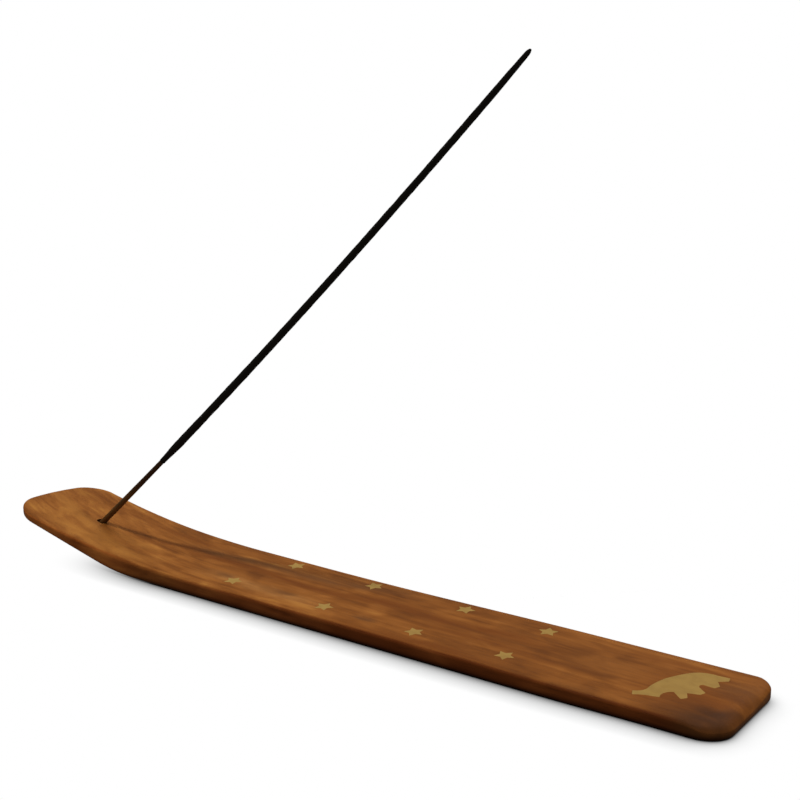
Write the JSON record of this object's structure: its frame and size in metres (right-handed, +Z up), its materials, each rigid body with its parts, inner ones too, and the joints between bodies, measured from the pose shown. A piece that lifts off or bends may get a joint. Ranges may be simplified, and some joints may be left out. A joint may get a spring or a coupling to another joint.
{
  "type": "incense stick holder",
  "caption": "Flat wooden incense holder with one raised end, brass star and elephant inlays, and an incense stick that lifts out of a slanted hole.",
  "frame": {"origin": "on the table under the middle of the board, halfway along its length and its width", "axes": "+X along the board towards its low end, +Y across it towards the edge with the shallow waist, +Z up"},
  "size_m": [0.258, 0.0358, 0.1643],
  "materials": {
    "wood": "oiled, satin",
    "brass": "dull, sanded flush with the wood",
    "bamboo": "dyed dark brown, matt",
    "incense": "dry pressed powder, matt"
  },
  "bodies": {
    "holder": {"board": "wood", "elephant_inlay": "brass", "star_inlay_front_1": "brass", "star_inlay_front_2": "brass", "star_inlay_front_3": "brass", "star_inlay_front_4": "brass", "star_inlay_back_1": "brass", "star_inlay_back_2": "brass", "star_inlay_back_3": "brass", "star_inlay_back_4": "brass"},
    "stick": {"bamboo_splint": "bamboo", "incense_paste": "incense"}
  },
  "joints": [
    {"name": "stick_slide", "type": "slide", "parent": "holder", "child": "stick", "axis": [0.7501, 0, 0.6613], "range_m": [0, 0.03]}
  ]
}
